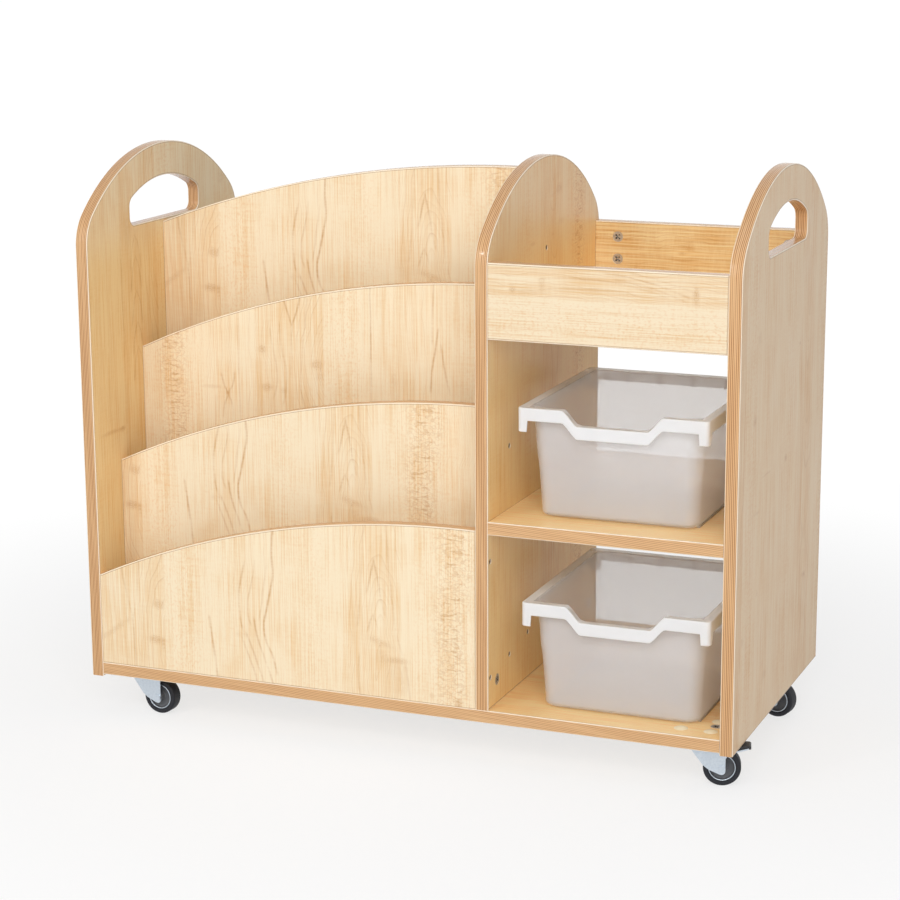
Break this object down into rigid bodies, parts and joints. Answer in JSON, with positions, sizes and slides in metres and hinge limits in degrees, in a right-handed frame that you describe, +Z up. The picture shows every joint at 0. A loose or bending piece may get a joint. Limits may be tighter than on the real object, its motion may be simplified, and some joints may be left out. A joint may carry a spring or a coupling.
{
  "type": "art trolley",
  "caption": "Low wooden school trolley on swivel castors, with stepped upright pockets for paper in one bay, and an open top box, a shelf and loose plastic trays in the other.",
  "frame": {"origin": "on the floor, under the middle of the bounding box, which holds the brake pedal beside the right end panel", "axes": "+X along the trolley from the paper pockets to the trays, +Y from front to rear, +Z up"},
  "size_m": [0.9496, 0.45, 0.796],
  "materials": {
    "maple_board": "satin melamine with a maple print",
    "cam_zinc": "bright zinc",
    "dowel_beech": "raw",
    "screw_steel": "dark zinc",
    "castor_zinc": "blue passivated zinc",
    "tyre_rubber": "matte",
    "hub_plastic": "matte",
    "pedal_plastic": "matte",
    "cap_plastic": "semi gloss",
    "tray_plastic": "frosted, lets light through"
  },
  "bodies": {
    "carcass": {"base_board": "maple_board", "left_end_panel": "maple_board", "right_end_panel": "maple_board", "divider_panel": "maple_board", "front_tier_low": "maple_board", "front_tier_middle": "maple_board", "front_tier_high": "maple_board", "centre_tier": "maple_board", "rear_tier_high": "maple_board", "rear_tier_middle": "maple_board", "rear_tier_low": "maple_board", "shelf_board": "maple_board", "top_box_floor": "maple_board", "top_box_front_rail": "maple_board", "top_box_back_rail": "maple_board", "cam_fittings": "cam_zinc", "cam_bolts": "cam_zinc", "dowels": "dowel_beech", "tier_screws": "screw_steel", "castor_bolts": "castor_zinc", "sleeve_nuts": "castor_zinc", "bolt_caps": "cap_plastic", "king_pins": "castor_zinc", "swivel_balls": "castor_zinc", "castor_plate_front_left": "castor_zinc", "castor_plate_front_right": "castor_zinc", "castor_plate_rear_left": "castor_zinc", "castor_plate_rear_right": "castor_zinc"},
    "castor_front_left": {"fork_front_left": "castor_zinc", "axle_front_left": "castor_zinc"},
    "wheel_front_left": {"hub_front_left": "hub_plastic", "tyre_front_left": "tyre_rubber"},
    "castor_front_right": {"fork_front_right": "castor_zinc", "axle_front_right": "castor_zinc", "brake_pin_front_right": "castor_zinc"},
    "wheel_front_right": {"hub_front_right": "hub_plastic", "tyre_front_right": "tyre_rubber"},
    "brake_front_right": {"brake_arm_front_right": "castor_zinc", "brake_pedal_front_right": "pedal_plastic"},
    "castor_rear_left": {"fork_rear_left": "castor_zinc", "axle_rear_left": "castor_zinc", "brake_pin_rear_left": "castor_zinc"},
    "wheel_rear_left": {"hub_rear_left": "hub_plastic", "tyre_rear_left": "tyre_rubber"},
    "brake_rear_left": {"brake_arm_rear_left": "castor_zinc", "brake_pedal_rear_left": "pedal_plastic"},
    "castor_rear_right": {"fork_rear_right": "castor_zinc", "axle_rear_right": "castor_zinc"},
    "wheel_rear_right": {"hub_rear_right": "hub_plastic", "tyre_rear_right": "tyre_rubber"},
    "upper_tray": {"upper_tray": "tray_plastic"},
    "lower_tray": {"lower_tray": "tray_plastic"}
  },
  "joints": [
    {"name": "swivel_front_left", "type": "hinge", "parent": "carcass", "child": "castor_front_left", "pos_m": [-0.4173, -0.177, 0.055], "axis": [0, 0, 1], "continuous": true},
    {"name": "roll_front_left", "type": "hinge", "parent": "castor_front_left", "child": "wheel_front_left", "pos_m": [-0.38787, -0.17906, 0.025], "axis": [0.0698, 0.9976, 0], "continuous": true},
    {"name": "swivel_front_right", "type": "hinge", "parent": "carcass", "child": "castor_front_right", "pos_m": [0.4077, -0.177, 0.055], "axis": [0, 0, 1], "continuous": true},
    {"name": "roll_front_right", "type": "hinge", "parent": "castor_front_right", "child": "wheel_front_right", "pos_m": [0.43613, -0.16912, 0.025], "axis": [-0.2672, 0.9636, 0], "continuous": true},
    {"name": "press_brake_front_right", "type": "hinge", "parent": "castor_front_right", "child": "brake_front_right", "pos_m": [0.4448, -0.16671, 0.052], "axis": [-0.2672, 0.9636, 0], "range_deg": [0, 10]},
    {"name": "swivel_rear_left", "type": "hinge", "parent": "carcass", "child": "castor_rear_left", "pos_m": [-0.4173, 0.127, 0.055], "axis": [0, 0, 1], "continuous": true},
    {"name": "roll_rear_left", "type": "hinge", "parent": "castor_rear_left", "child": "wheel_rear_left", "pos_m": [-0.38809, 0.13111, 0.025], "axis": [-0.1392, 0.9903, 0], "continuous": true},
    {"name": "press_brake_rear_left", "type": "hinge", "parent": "castor_rear_left", "child": "brake_rear_left", "pos_m": [-0.37918, 0.13236, 0.052], "axis": [-0.1392, 0.9903, 0], "range_deg": [0, 10]},
    {"name": "swivel_rear_right", "type": "hinge", "parent": "carcass", "child": "castor_rear_right", "pos_m": [0.4077, 0.127, 0.055], "axis": [0, 0, 1], "continuous": true},
    {"name": "roll_rear_right", "type": "hinge", "parent": "castor_rear_right", "child": "wheel_rear_right", "pos_m": [0.43675, 0.12188, 0.025], "axis": [0.1736, 0.9848, 0], "continuous": true},
    {"name": "slide_upper_tray", "type": "slide", "parent": "carcass", "child": "upper_tray", "axis": [0, -1, 0], "range_m": [-0.13, 0.28]},
    {"name": "slide_lower_tray", "type": "slide", "parent": "carcass", "child": "lower_tray", "axis": [0, -1, 0], "range_m": [-0.14, 0.28]}
  ]
}
